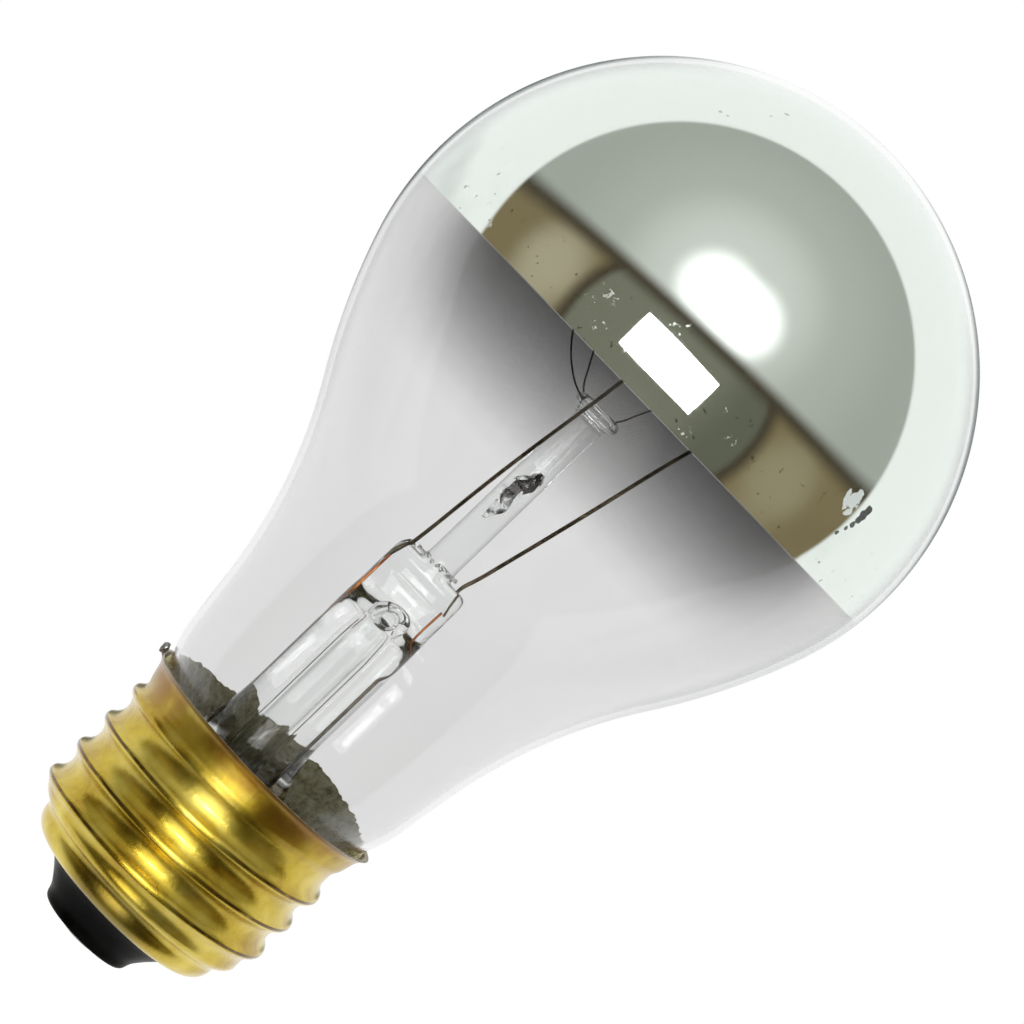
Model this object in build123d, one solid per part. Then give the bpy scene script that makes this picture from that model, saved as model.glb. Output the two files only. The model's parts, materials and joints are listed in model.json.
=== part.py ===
from build123d import *
import math
import os

# Half-mirrored incandescent light bulb with a medium brass screw cap.
# Millimetres. +Z runs along the bulb's axis from the cap to the crown, and the origin is the
# tip of the solder on the centre contact. -Y is the side that faces the viewer.

# Heights, from the solder tip upwards
overall_length = 105.3
contact_height = 1.2
insulator_drop = 3.8
cap_height = 19.6

# Glass envelope: a round crown, a flank, a hollow waist and a tapered neck, all tangent
bulb_radius = 29.45
flank_start_angle = 19.0
waist_to_flank_ratio = 0.777
neck_straight_length = 4.96
neck_taper_angle = 8.0
neck_above_rim = 4.4
neck_overhang = 0.85
shoulder_radius = 15.0
shoulder_turn_angle = 28.0
tail_radius = 5.0
tail_taper_angle = 5.0
glass_wall = 0.6
seal_depth = 10.6

# Mirror film on the inside of the crown, from its edge just below the widest circle
mirror_edge_drop = 2.9
mirror_film = 0.12

# Screw cap: rolled brass sheet with a knuckle thread of seven turns to the inch
thread_pitch = 3.629
crest_radius = 13.2
crest_round = 0.8
thread_depth = 0.92
root_land = 0.05
root_flat = 0.4
thread_overlap = 0.12
thread_turns = 3.1
thread_fade_turns = 0.5
thread_start_angle = -30.0
thread_start_drop = 0.75
shell_wall = 0.28
nose_inset = 2.25
nose_round = 1.8
nose_height = 2.2
nose_step_height = 0.9
skirt_height = 3.3
skirt_flare_height = 0.7
skirt_low_inset = 0.45
lip_flare = 0.6
lip_height = 0.55
cap_corner_round = 0.35

# Black glass insulator, moulded into the cap's nose
insulator_tip_radius = 5.2
insulator_neck_radius = 8.35
insulator_hollow = 0.35
insulator_tip_round = 0.4
insulator_fill = 3.4
insulator_floor = 3.0
bowl_radius = 6.5
bowl_floor_radius = 3.0

# Centre contact: a brass eyelet closed with solder
eyelet_radius = 4.4
eyelet_thickness = 0.35
barrel_radius = 1.5
barrel_wall = 0.35
clinch_width = 0.8
solder_radius = 3.7
solder_flat_radius = 1.1
solder_bulge_height = 0.22
solder_plug_height = 1.5

# Stem: flare tube pressed shut round the lead wires, exhaust tube and arbor rod
stem_x = -1.5
flare_radius = 4.4
flare_wall = 0.6
flare_band = 1.2
flare_skirt_height = 14.0
press_above_rim = 15.4
press_blend = 3.3
press_height = 8.4
press_width = 8.6
press_depth = 3.8
press_round = 0.7
exhaust_radius = 2.1
exhaust_wall = 0.6
exhaust_tip_rise = 4.3
exhaust_hole_radius = 0.9
exhaust_hole_rise = 1.9
exhaust_bore_rise = 3.0
rod_radius = 1.7
rod_height = 21.4
button_radius = 2.6
button_height = 1.3
button_round = 0.5

# Wires
lead_radius = 0.22
outer_lead_radius = 0.17
support_radius = 0.12
seal_wire_spread = 3.4
seal_wire_height = 6.0
seal_wire_tail = 0.5
outer_lead_spread = 2.7
outer_lead_kink = 2.2
wire_bend = 0.5
lead_exit = 0.6
lead_hook = 0.7
lead_post = 1.6
contact_lead_embed = 0.6
contact_lead_rise = 2.6
side_lead_drop = 1.3
support_embed = 0.8

# Filament: an arc round the stem, level with the light centre, carried by three supports.
# Each support bends at a knee, at a radius from the stem and a drop below the filament.
filament_radius = 10.0
filament_height = 79.0
coil_radius = 0.42
filament_start_angle = 268.0
filament_stop_angle = -12.0
left_support_angle = 203.0
left_knee_radius = 8.0
left_knee_drop = 6.4
rear_support_angle = 140.0
rear_knee_radius = 5.6
rear_knee_drop = 6.5
right_support_angle = 55.0
right_knee_radius = 5.4
right_knee_drop = 6.7

# Cement between the neck and the cap, and the solder bead on the rim
cement_depth = 9.0
cement_top_gap = 0.15
bead_radius = 0.85
bead_rise = 0.2
clearance = 0.03

# Levels, radii and points that follow from the sizes above
insulator_base_z = contact_height
insulator_floor_z = insulator_base_z + insulator_floor
eyelet_base_z = contact_height - eyelet_thickness
cap_base_z = insulator_base_z + insulator_drop
rim_z = cap_base_z + cap_height
bulb_centre_z = overall_length - bulb_radius
seal_z = rim_z - seal_depth
root_radius = crest_radius - thread_depth
nose_radius = crest_radius - nose_inset
skirt_radius = crest_radius
skirt_low_radius = skirt_radius - skirt_low_inset
lip_radius = skirt_radius + lip_flare
core_radius = root_radius + root_land
thread_start_z = cap_base_z + nose_height + nose_step_height - thread_start_drop
barrel_bore = barrel_radius - barrel_wall
press_base_z = rim_z + press_above_rim
press_top_z = press_base_z + press_height
button_top_z = press_top_z + rod_height
seal_wire_top_z = press_base_z + seal_wire_height
seal_wire_foot_z = press_base_z - seal_wire_tail
left_x = stem_x - seal_wire_spread
right_x = stem_x + seal_wire_spread
supports = {
    "support_wire_left": (left_support_angle, left_knee_radius, left_knee_drop),
    "support_wire_rear": (rear_support_angle, rear_knee_radius, rear_knee_drop),
    "support_wire_right": (right_support_angle, right_knee_radius, right_knee_drop),
}


def outward(angle):
    """Unit direction in the half section, at an angle in degrees above +X."""
    return Vector(math.cos(math.radians(angle)), 0, math.sin(math.radians(angle)))


def level(z, x=0.0, y=0.0):
    """Location at a height, and optionally off the axis."""
    return Location((x, y, z))


def round_solid(edges):
    """Solid of revolution of a half section whose edges run from the axis round to the axis."""
    return revolve(make_face(edges), Axis.Z)


def slab(low_z, high_z, radius):
    """Plain disc between two heights, used to trim other solids."""
    return level(low_z) * Cylinder(radius, high_z - low_z, align=(Align.CENTER, Align.CENTER, Align.MIN))


def tube_along(path, radius):
    """Round wire along a path."""
    return sweep(Plane(path @ 0, z_dir=path % 0) * Circle(radius), path=path)


def wire(points, radius, bend=wire_bend):
    """Round wire through a list of points, with its corners rounded."""
    if len(points) == 2:
        return tube_along(Line(*points), radius)
    return tube_along(FilletPolyline(*points, radius=bend), radius)


def envelope_stretches():
    """Centre, signed radius and normal angles of each arc of the glass outline, crown first.

    A negative radius is a hollow stretch, whose centre lies outside the glass. The flank and the
    waist take the radii that join the crown to the straight neck in one smooth curve.
    """
    flank_out = outward(-flank_start_angle)
    neck_out = outward(-neck_taper_angle)
    crown = Vector(0, 0, bulb_centre_z)
    neck_point = Vector(skirt_radius + neck_overhang, 0, rim_z + neck_above_rim)
    neck_top = neck_point + neck_straight_length * outward(90 - neck_taper_angle)
    to_neck = neck_top - crown - bulb_radius * flank_out
    reach = to_neck.dot(flank_out + waist_to_flank_ratio * neck_out)
    bend = 2 * waist_to_flank_ratio * (1 - flank_out.dot(neck_out))
    flank_radius = (reach + math.sqrt(reach**2 + bend * to_neck.dot(to_neck))) / bend
    waist_radius = waist_to_flank_ratio * flank_radius
    flank = crown + (bulb_radius - flank_radius) * flank_out
    waist = neck_top + waist_radius * neck_out
    waist_angle = math.degrees(math.atan2(waist.Z - flank.Z, waist.X - flank.X))
    shoulder = neck_point - shoulder_radius * neck_out
    tail_angle = -neck_taper_angle - shoulder_turn_angle
    tail = shoulder + (shoulder_radius + tail_radius) * outward(tail_angle)
    return [
        (crown, bulb_radius, 90, -flank_start_angle),
        (flank, flank_radius, -flank_start_angle, waist_angle),
        (waist, -waist_radius, waist_angle, -neck_taper_angle),
        (shoulder, shoulder_radius, -neck_taper_angle, tail_angle),
        (tail, -tail_radius, tail_angle, -tail_taper_angle),
    ]


def arc_of(stretch, inset):
    """One arc of the glass outline, moved inwards by inset."""
    centre, radius, start, stop = stretch
    points = [centre + (radius - inset) * outward(angle) for angle in (start, (start + stop) / 2, stop)]
    return ThreePointArc(*points)


def tail_radius_at(z, inset):
    """Radius of the straight lowest stretch of the neck at a height."""
    centre, radius, _, stop = envelope_stretches()[-1]
    foot = centre + (radius - inset) * outward(stop)
    return foot.X - (foot.Z - z) * math.tan(math.radians(tail_taper_angle))


def envelope_body(inset, base_z):
    """Solid inside the glass outline, moved inwards by inset and closed at a height."""
    arcs = [arc_of(stretch, inset) for stretch in envelope_stretches()]
    crown, flank, waist, shoulder, tail = arcs
    foot = Vector(tail_radius_at(base_z, inset), 0, base_z)
    edges = [
        crown,
        flank,
        waist,
        Line(waist @ 1, shoulder @ 0),
        shoulder,
        tail,
        Line(tail @ 1, foot),
        Line(foot, (0, 0, base_z)),
        Line((0, 0, base_z), crown @ 0),
    ]
    return round_solid(edges)


def glass_envelope():
    """Blown glass bulb, open at the foot of its neck."""
    return envelope_body(0, seal_z) - envelope_body(glass_wall, seal_z - flare_band)


def mirror_coating():
    """Silver film on the inside of the crown, down to its level edge."""
    crown = Vector(0, 0, bulb_centre_z)
    faces = []
    for radius in (bulb_radius - glass_wall, bulb_radius - glass_wall - mirror_film):
        edge_angle = -math.degrees(math.asin(mirror_edge_drop / radius))
        faces.append([crown + radius * outward(a) for a in (90, (90 + edge_angle) / 2, edge_angle)])
    outer, inner = faces
    edges = [
        ThreePointArc(*outer),
        Line(outer[-1], inner[-1]),
        ThreePointArc(*inner),
        Line(inner[0], outer[0]),
    ]
    return round_solid(edges)


def inset_corners(corners, inset):
    """Corners of an outline moved inwards, along the mitre of the two edges that meet there."""
    edges = [(b - a).normalized() for a, b in zip(corners, corners[1:])]
    inward = [Vector(-edge.Z, 0, edge.X) for edge in edges]
    before = [inward[0]] + inward
    after = inward + [inward[-1]]
    return [
        corner + (n0 + n1) * (inset / (1 + n0.dot(n1)))
        for corner, n0, n1 in zip(corners, before, after)
    ]


def cap_body(inset):
    """Solid inside the cap's outline without its thread, moved inwards by inset.

    Only the outline itself has its small corners rounded.
    """
    skirt_z = rim_z - skirt_height
    profile = [
        (0, cap_base_z),
        (nose_radius, cap_base_z),
        (nose_radius, cap_base_z + nose_height),
        (core_radius, cap_base_z + nose_height + nose_step_height),
        (core_radius, skirt_z),
        (skirt_low_radius, skirt_z + skirt_flare_height),
        (skirt_radius, rim_z - lip_height),
        (lip_radius, rim_z),
    ]
    corners = inset_corners([Vector(x, 0, z) for x, z in profile], inset)
    lip = corners[-1] - corners[-2]
    top = corners[-2] + lip * ((rim_z - corners[-2].Z) / lip.Z)
    foot = Vector(0, 0, corners[0].Z)
    rounds = [nose_round - inset] + [0 if inset else cap_corner_round for _ in corners[2:-1]]
    side = FilletPolyline(foot, *corners[1:-1], top, radius=rounds)
    return round_solid([side, Line(top, (0, 0, rim_z)), Line((0, 0, rim_z), foot)])


def thread_section(inset, sink):
    """Section of the knuckle thread: straight flanks, and a crest that is round on the outside
    of the sheet and flat on its inside."""
    centre = Vector(crest_radius - crest_round, 0, 0)
    to_root = Vector(root_radius, 0, (thread_pitch - root_flat) / 2) - centre
    root_bearing = math.degrees(math.atan2(to_root.Z, to_root.X))
    flank_normal = root_bearing - math.degrees(math.acos(crest_round / to_root.length))
    touch = centre + (crest_round - inset) * outward(flank_normal)

    def flank_at(radius):
        point = touch + outward(flank_normal + 90) * ((touch.X - radius) / math.sin(math.radians(flank_normal)))
        return point, Vector(point.X, 0, -point.Z)

    upper_foot, lower_foot = flank_at(root_radius - inset - thread_overlap)
    if inset:
        upper_edge, lower_edge = flank_at(crest_radius - inset)
        crest = Line(lower_edge, upper_edge)
    else:
        upper_edge, lower_edge = flank_at(touch.X)
        crest = ThreePointArc(lower_edge, (crest_radius, 0, 0), upper_edge)
    edges = [
        Line(lower_foot, lower_edge),
        crest,
        Line(upper_edge, upper_foot),
        Line(upper_foot, lower_foot),
    ]
    return level(0, -sink) * make_face(edges)


def thread_run(start_turn, turns, inset, sinks):
    """One stretch of the thread; it sinks into the cap where a sink is given."""
    def at(turn):
        return level(turn * thread_pitch) * Rotation(0, 0, 360 * turn)

    placed = level(thread_start_z) * Rotation(0, 0, thread_start_angle) * at(start_turn)
    path = placed * Helix(thread_pitch, turns * thread_pitch, core_radius)
    sections = [placed * thread_section(inset, sinks[0])]
    if sinks[0] != sinks[1]:
        sections.append(placed * at(turns) * thread_section(inset, sinks[1]))
    return sweep(sections, path=path, is_frenet=True, multisection=len(sections) > 1)


def thread_ridge(inset):
    """Helical ridge of the thread, fading out at both ends."""
    fade = thread_fade_turns
    return (
        thread_run(0, fade, inset, (thread_depth, 0))
        + thread_run(fade, thread_turns, inset, (0, 0))
        + thread_run(fade + thread_turns, fade, inset, (0, thread_depth))
    )


def screw_shell():
    """Threaded brass cap of one thickness throughout, open at the rim and at its nose."""
    outside = cap_body(0) + thread_ridge(0)
    inside = cap_body(shell_wall) + thread_ridge(shell_wall)
    opening = slab(cap_base_z - shell_wall, cap_base_z + 2 * shell_wall, insulator_neck_radius)
    return outside - inside - opening


def insulator():
    """Black glass insulator: a hollow-sided stub below the cap and a fill inside its nose."""
    corner = Vector(insulator_tip_radius - insulator_tip_round, 0, insulator_base_z + insulator_tip_round)
    corner_arc = [corner + insulator_tip_round * outward(angle) for angle in (-90, -45, 0)]
    neck = Vector(insulator_neck_radius, 0, cap_base_z)
    middle = (corner_arc[-1] + neck) * 0.5 - insulator_hollow * outward(-45)
    top_z = cap_base_z + shell_wall
    edges = [
        Line((0, 0, insulator_base_z), corner_arc[0]),
        ThreePointArc(*corner_arc),
        ThreePointArc(corner_arc[-1], middle, neck),
        Line(neck, (insulator_neck_radius, 0, top_z)),
        Line((insulator_neck_radius, 0, top_z), (0, 0, top_z)),
        Line((0, 0, top_z), (0, 0, insulator_base_z)),
    ]
    fill_top_z = cap_base_z + insulator_fill
    fill = cap_body(shell_wall) & slab(cap_base_z, fill_top_z, nose_radius - shell_wall)
    bowl_height = fill_top_z - insulator_floor_z
    bowl = level(insulator_floor_z + bowl_height / 2) * Cone(bowl_floor_radius, bowl_radius, bowl_height)
    return round_solid(edges) + fill - bowl - slab(0, fill_top_z, barrel_radius)


def contact_eyelet():
    """Brass disc under the insulator with a barrel clinched over on its floor."""
    section = [
        (barrel_bore, eyelet_base_z),
        (eyelet_radius, eyelet_base_z),
        (eyelet_radius, insulator_base_z),
        (barrel_radius, insulator_base_z),
        (barrel_radius, insulator_floor_z),
        (barrel_radius + clinch_width, insulator_floor_z),
        (barrel_radius + clinch_width, insulator_floor_z + barrel_wall),
        (barrel_bore, insulator_floor_z + barrel_wall),
    ]
    return revolve(make_face(Polyline(*[(x, 0, z) for x, z in section], close=True)), Axis.Z)


def centre_solder(contact_lead):
    """Dome of solder on the eyelet, with a small flat at its tip and a plug in the barrel."""
    flat = Vector(solder_flat_radius, 0, 0)
    edge = Vector(solder_radius, 0, eyelet_base_z)
    middle = (flat + edge) * 0.5 + Vector(0, 0, -solder_bulge_height)
    plug_z = eyelet_base_z + solder_plug_height
    edges = [
        Line((0, 0, 0), flat),
        ThreePointArc(flat, middle, edge),
        Line(edge, (barrel_bore, 0, eyelet_base_z)),
        Line((barrel_bore, 0, eyelet_base_z), (barrel_bore, 0, plug_z)),
        Line((barrel_bore, 0, plug_z), (0, 0, plug_z)),
        Line((0, 0, plug_z), (0, 0, 0)),
    ]
    return round_solid(edges) - contact_lead


def contact_lead():
    """Outer lead from the right seal wire down the flare tube to the centre contact."""
    run_x = stem_x + outer_lead_spread
    turn_z = insulator_floor_z + contact_lead_rise
    return wire(
        [
            (right_x, 0, seal_wire_foot_z),
            (right_x, 0, seal_wire_foot_z - outer_lead_kink / 2),
            (run_x, 0, seal_wire_foot_z - outer_lead_kink),
            (run_x, 0, turn_z + run_x + exhaust_radius),
            (0, 0, turn_z),
            (0, 0, contact_lead_embed),
        ],
        outer_lead_radius,
    )


def side_lead():
    """Outer lead from the left seal wire, down the flare tube, round the foot of the neck and
    up its outside to the rim of the cap."""
    beside = -(outer_lead_radius + clearance)
    *_, shoulder, tail = envelope_stretches()
    shoulder_centre, shoulder_bend, _, shoulder_foot = shoulder
    end_sine = (rim_z - shoulder_centre.Z) / (shoulder_bend - beside)
    climb = arc_of((shoulder_centre, shoulder_bend, shoulder_foot, math.degrees(math.asin(end_sine))), beside)
    tail_centre, tail_bend, tail_top, tail_foot = tail
    bend = arc_of((tail_centre, tail_bend, tail_foot, tail_top), beside)
    low_z = seal_z - side_lead_drop
    down = FilletPolyline(
        (-left_x, 0, seal_wire_foot_z),
        (-left_x, 0, low_z),
        (tail_radius_at(low_z, beside), 0, low_z),
        bend @ 0,
        radius=wire_bend,
    )
    route = Rotation(0, 0, 180) * Wire(down.edges() + [bend.edge(), climb.edge()])
    return tube_along(route, outer_lead_radius)


def seal_wire(x):
    """Copper-sheathed wire sealed into the press."""
    return wire([(x, 0, seal_wire_foot_z), (x, 0, seal_wire_top_z)], lead_radius)


def filament_point(angle, z=filament_height):
    """Point on the filament's arc at a bearing round the stem."""
    bearing = math.radians(angle)
    return Vector(stem_x + filament_radius * math.cos(bearing), filament_radius * math.sin(bearing), z)


def inner_lead(x, angle):
    """Upper lead from the press to its end of the filament."""
    return wire(
        [
            (x, 0, seal_wire_top_z),
            (x, 0, press_top_z + lead_exit),
            filament_point(angle, filament_height - lead_post),
            filament_point(angle, filament_height + lead_hook),
        ],
        lead_radius,
    )


def filament(leads):
    """Coiled filament as a plain tube of the coil's outer size, between the two leads."""
    middle = (filament_start_angle + filament_stop_angle) / 2
    angles = (filament_start_angle, middle, filament_stop_angle)
    arc = ThreePointArc(*[filament_point(angle) for angle in angles])
    return tube_along(arc, coil_radius) - leads


def support_wire(angle, knee_radius, knee_drop):
    """Molybdenum support from the button to a ring round the filament."""
    ring_radius = coil_radius + clearance + support_radius
    foot_z = button_top_z - button_height / 2
    bearing = Location((stem_x, 0, 0), (0, 0, angle))
    stalk = wire(
        [
            (button_radius - support_embed, 0, foot_z),
            (button_radius + support_embed, 0, foot_z),
            (knee_radius, 0, filament_height - knee_drop),
            (filament_radius, 0, filament_height - ring_radius),
        ],
        support_radius,
    )
    ring = Location((filament_radius, 0, filament_height), (90, 0, 0)) * Torus(ring_radius, support_radius)
    return bearing * (stalk + ring)


def arbor_rod(support_wires):
    """Glass rod on the press, with the flattened button that holds the supports."""
    rod = slab(press_top_z, button_top_z, rod_radius)
    button = slab(button_top_z - button_height, button_top_z, button_radius)
    button = fillet(button.edges().filter_by(GeomType.CIRCLE), button_round)
    return level(0, stem_x) * (rod + button) - support_wires


def exhaust_body(inset):
    """Solid inside the exhaust tube's outline, closed by a round tip."""
    radius = exhaust_radius - inset
    tip_z = insulator_floor_z + exhaust_tip_rise + exhaust_radius
    return slab(tip_z, press_base_z, radius) + level(tip_z) * Sphere(radius)


def exhaust_tube():
    """Thin tube under the press, drawn to a closed tip."""
    return level(0, stem_x) * (exhaust_body(0) - exhaust_body(exhaust_wall))


def flare_skirt(inset):
    """Solid inside the trumpet that joins the flare tube to the foot of the neck."""
    base_z = seal_z + flare_band
    foot_radius = tail_radius_at(base_z, glass_wall)
    sections = []
    for step in (0, 0.25, 0.5, 0.75, 1):
        rest = (1 - step) ** 2
        radius = flare_radius + (foot_radius - flare_radius) * rest
        sections.append(level(base_z + flare_skirt_height * step, stem_x * (1 - rest)) * Circle(radius - inset))
    return loft(sections)


def press_body():
    """Top of the flare tube, pressed flat."""
    blend_z = press_base_z + press_blend
    flat = SlotOverall(press_width, press_depth)
    blend = loft([level(press_base_z) * Circle(flare_radius), level(blend_z) * flat])
    block = level(blend_z) * extrude(flat, press_top_z - blend_z)
    block = fillet(block.edges().group_by(Axis.Z)[-1], press_round)
    return blend + block


def exhaust_passage():
    """Bore that carries on from the exhaust tube and opens through the front of the press."""
    bore_radius = exhaust_radius - exhaust_wall
    bore = slab(press_base_z, press_base_z + exhaust_bore_rise - bore_radius, bore_radius)
    roof = level(press_base_z + exhaust_bore_rise - bore_radius) * Sphere(bore_radius)
    hole_length = flare_radius + press_depth
    hole = level(press_base_z + exhaust_hole_rise, 0, -hole_length / 2) * Rotation(90, 0, 0)
    return bore + roof + hole * Cylinder(exhaust_hole_radius, hole_length)


def stem_flare(wires):
    """Flare tube with its trumpet foot and its press, sealed round the wires."""
    neck_bore = envelope_body(glass_wall, seal_z) - envelope_body(glass_wall + flare_wall, seal_z)
    band = neck_bore & slab(seal_z, seal_z + flare_band, skirt_radius)
    tube_z = seal_z + flare_band + flare_skirt_height
    tube = slab(tube_z, press_base_z, flare_radius) - slab(tube_z, press_base_z, flare_radius - flare_wall)
    stem = level(0, stem_x) * (tube + press_body() - exhaust_passage())
    return band + (flare_skirt(0) - flare_skirt(flare_wall)) + stem - wires


def basing_cement(glass_body, lead):
    """Ring of cement between the neck and the cap."""
    top_z = rim_z - cement_top_gap
    return (cap_body(shell_wall) & slab(rim_z - cement_depth, top_z, lip_radius)) - glass_body - lead


def side_solder(neighbours):
    """Bead of solder where the side lead crosses the rim."""
    return level(rim_z + bead_rise, -lip_radius) * Sphere(bead_radius) - neighbours


def main():
    """Make every piece and write each to its own file."""
    pieces = {}
    pieces["screw_shell"] = screw_shell()
    pieces["insulator"] = insulator()
    pieces["contact_eyelet"] = contact_eyelet()
    pieces["contact_lead"] = contact_lead()
    pieces["centre_solder"] = centre_solder(pieces["contact_lead"])
    pieces["side_lead"] = side_lead()
    pieces["glass_envelope"] = glass_envelope()
    pieces["mirror_coating"] = mirror_coating()
    pieces["basing_cement"] = basing_cement(envelope_body(0, seal_z), pieces["side_lead"])
    rim_pieces = ("screw_shell", "glass_envelope", "side_lead", "basing_cement")
    pieces["side_solder"] = side_solder([pieces[name] for name in rim_pieces])
    pieces["seal_wire_left"] = seal_wire(left_x)
    pieces["seal_wire_right"] = seal_wire(right_x)
    pieces["inner_lead_left"] = inner_lead(left_x, filament_start_angle)
    pieces["inner_lead_right"] = inner_lead(right_x, filament_stop_angle)
    pieces["filament"] = filament([pieces["inner_lead_left"], pieces["inner_lead_right"]])
    for name, shape in supports.items():
        pieces[name] = support_wire(*shape)
    pieces["arbor_rod"] = arbor_rod([pieces[name] for name in supports])
    pieces["exhaust_tube"] = exhaust_tube()
    sealed = ("seal_wire_left", "seal_wire_right", "inner_lead_left", "inner_lead_right")
    pieces["stem_flare"] = stem_flare([pieces[name] for name in sealed])
    os.makedirs("parts", exist_ok=True)
    for name, shape in pieces.items():
        export_step(shape, f"parts/{name}.step")


main()
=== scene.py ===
import json
import math

import bmesh
import bpy
import numpy as np
from mathutils import Matrix, Vector, noise


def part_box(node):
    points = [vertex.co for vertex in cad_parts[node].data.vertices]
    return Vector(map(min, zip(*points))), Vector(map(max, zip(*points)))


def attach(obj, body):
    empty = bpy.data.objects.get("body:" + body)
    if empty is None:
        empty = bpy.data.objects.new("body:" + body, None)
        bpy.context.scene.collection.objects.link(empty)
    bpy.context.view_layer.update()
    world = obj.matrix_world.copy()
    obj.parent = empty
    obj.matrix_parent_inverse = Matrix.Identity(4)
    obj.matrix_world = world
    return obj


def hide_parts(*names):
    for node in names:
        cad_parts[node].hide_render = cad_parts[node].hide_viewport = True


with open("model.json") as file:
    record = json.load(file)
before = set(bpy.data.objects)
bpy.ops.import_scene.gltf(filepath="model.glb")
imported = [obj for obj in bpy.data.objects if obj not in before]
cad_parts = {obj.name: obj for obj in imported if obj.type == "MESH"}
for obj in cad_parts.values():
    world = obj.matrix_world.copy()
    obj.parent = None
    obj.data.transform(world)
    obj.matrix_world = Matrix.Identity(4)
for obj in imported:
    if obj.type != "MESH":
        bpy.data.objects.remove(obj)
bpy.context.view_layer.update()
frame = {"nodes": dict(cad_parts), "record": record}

mm = 0.001
tau = 2 * math.pi

# Levels and radii read from the frame, in metres
glass_low, glass_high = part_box("glass_envelope")
shell_low, shell_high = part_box("screw_shell")
insulator_low, insulator_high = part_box("insulator")
rod_low, rod_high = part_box("arbor_rod")
exhaust_low, exhaust_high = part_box("exhaust_tube")
bead_low, bead_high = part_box("side_solder")
crown_z = glass_high.z
seal_z = glass_low.z
bulb_radius = (glass_high.x - glass_low.x) / 2
bulb_centre_z = crown_z - bulb_radius
mirror_edge_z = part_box("mirror_coating")[0].z
rim_z = shell_high.z
cap_base_z = shell_low.z
stem_x = (exhaust_low.x + exhaust_high.x) / 2
exhaust_radius = (exhaust_high.x - exhaust_low.x) / 2
press_base_z = exhaust_high.z
press_top_z = rod_low.z
button_top_z = rod_high.z

# Sizes of the lamp that a box can't give, in millimetres and degrees
glass_wall = 0.6
flank_start_angle = 19.0
waist_to_flank_ratio = 0.777
neck_straight_length = 4.96
neck_taper_angle = 8.0
neck_above_rim = 4.4
neck_overhang = 0.85
shoulder_radius = 15.0
shoulder_turn_angle = 28.0
tail_radius = 5.0
tail_taper_angle = 5.0
thread_pitch = 3.629
thread_depth = 0.92
crest_round = 0.6
thread_start_angle = -30.0
thread_start_z = 7.35
thread_turns = 4.1
thread_fade_turns = 0.5
crest_radius = 13.2
shell_wall = 0.28
cement_depth = 9.0
flare_radius = 4.4
flare_wall = 0.6
flare_height = 14.0
exhaust_wall = 0.6
hole_x = stem_x / mm + 0.35
hole_y = -3.2
hole_z = press_base_z / mm + 2.0
bubble_low = 54.9
bubble_length = 6.7
lead_radius = 0.2
left_sheath_radius = 0.17
right_sheath_radius = 0.12
support_radius = 0.1
filament_radius = 10.0
filament_height = 79.0
filament_wire_radius = 0.07
filament_turns = 170
filament_start_angle = 268.0
filament_stop_angle = -12.0
coil_radius = 0.42

# Camera: fitted to the photo, whose frame is 1024 pixels wide
frame_pixels = 1024
focal_pixels = 3648.6
sensor_width = 36.0
camera_place = (-0.402, -339.7, 72.87)
camera_down = 2.668
roll_right = 0.6937
roll_up = 0.7203


def add_object(name, data):
    """New object in the scene from its mesh, curve, light or camera."""
    made = bpy.data.objects.new(name, data)
    bpy.context.scene.collection.objects.link(made)
    return made


def mesh_object(name, points, faces):
    """New mesh object from points in metres and faces."""
    mesh = bpy.data.meshes.new(name)
    mesh.from_pydata([tuple(p) for p in points], [], faces)
    mesh.update()
    return add_object(name, mesh)


def bearings(columns):
    """Evenly spaced angles round a circle."""
    return np.arange(columns) * tau / columns


def grid_faces(rows, columns):
    """Faces of a grid of points that closes round in its columns."""
    faces = []
    for i in range(rows - 1):
        for j in range(columns):
            a = i * columns + j
            b = i * columns + (j + 1) % columns
            faces.append((a, b, b + columns, a + columns))
    return faces


def clean_up(made, distance=1e-6):
    """Merges points that meet and makes the normals point outwards."""
    net = bmesh.new()
    net.from_mesh(made.data)
    bmesh.ops.remove_doubles(net, verts=net.verts, dist=distance)
    bmesh.ops.dissolve_degenerate(net, edges=net.edges, dist=distance / 10)
    bmesh.ops.recalc_face_normals(net, faces=net.faces)
    net.to_mesh(made.data)
    net.free()
    made.data.shade_smooth()
    made.data.set_sharp_from_angle(angle=math.radians(50))
    return made


def loop_solid(name, rings):
    """Closed solid through rings of points in metres, the last one joined to the first."""
    rows, columns = len(rings), len(rings[0])
    last = (rows - 1) * columns
    faces = grid_faces(rows, columns)
    faces += [(last + j, last + (j + 1) % columns, (j + 1) % columns, j) for j in range(columns)]
    return clean_up(mesh_object(name, np.reshape(rings, (-1, 3)), faces))


def capped_solid(name, rings):
    """Closed solid through rings of points in millimetres, with a flat cap at both ends."""
    rows, columns = len(rings), len(rings[0])
    last = (rows - 1) * columns
    faces = grid_faces(rows, columns)
    faces.append(tuple(range(columns))[::-1])
    faces.append(tuple(range(last, last + columns)))
    return clean_up(mesh_object(name, np.concatenate(rings) * mm, faces))


def spin(radius, height, columns):
    """Rows of points round the axis, whose radii and heights may change with the bearing."""
    angles = bearings(columns)
    across = radius * np.cos(angles)
    return np.stack([across, radius * np.sin(angles), np.broadcast_to(height, across.shape)], axis=2)


def lathe(name, section, columns, shift=lambda points: points):
    """Solid of revolution from a closed half section of (radius, height), in metres."""
    section = np.array(section)
    return loop_solid(name, shift(spin(section[:, :1], section[:, 1:], columns)))


def outward(angle):
    """Cosine and sine of an angle in degrees: a unit direction."""
    return np.array([math.cos(math.radians(angle)), math.sin(math.radians(angle))])


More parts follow.
